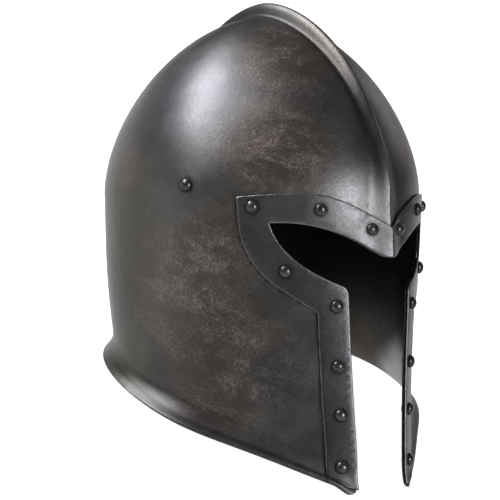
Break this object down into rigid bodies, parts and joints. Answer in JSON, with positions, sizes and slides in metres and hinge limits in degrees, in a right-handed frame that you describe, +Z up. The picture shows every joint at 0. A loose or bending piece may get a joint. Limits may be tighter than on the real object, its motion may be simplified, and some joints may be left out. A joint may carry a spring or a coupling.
{
  "type": "barbute helmet",
  "caption": "Open-faced steel helmet: deep skull with a raised comb, a flared rim and a Y-shaped face opening edged by a riveted plate.",
  "frame": {"origin": "centre of the helmet's bounding box in plan, at the level of the surface that the cheek tips and the nape of the rim stand on", "axes": "+Z up off the surface that the rim stands on, -Y to the front where the face opening is, +X to the wearer's left"},
  "size_m": [0.2302, 0.3122, 0.2588],
  "materials": {
    "skull_steel": "browned and blackened steel, satin, with rust-brown mottling and paler highlights",
    "band_steel": "blackened steel, smoother and more even than the skull, bright along its edges",
    "rivet_steel": "dark polished steel heads"
  },
  "bodies": {
    "root": {"skull": "skull_steel", "face_band": "band_steel", "rivet_brow_inner_left": "rivet_steel", "rivet_brow_inner_right": "rivet_steel", "rivet_brow_middle_left": "rivet_steel", "rivet_brow_middle_right": "rivet_steel", "rivet_brow_outer_left": "rivet_steel", "rivet_brow_outer_right": "rivet_steel", "rivet_eye_left": "rivet_steel", "rivet_eye_right": "rivet_steel", "rivet_cheek_upper_left": "rivet_steel", "rivet_cheek_upper_right": "rivet_steel", "rivet_cheek_middle_left": "rivet_steel", "rivet_cheek_middle_right": "rivet_steel", "rivet_cheek_lower_left": "rivet_steel", "rivet_cheek_lower_right": "rivet_steel", "rivet_cheek_foot_left": "rivet_steel", "rivet_cheek_foot_right": "rivet_steel", "rivet_side_left": "rivet_steel", "rivet_side_right": "rivet_steel"}
  },
  "joints": []
}
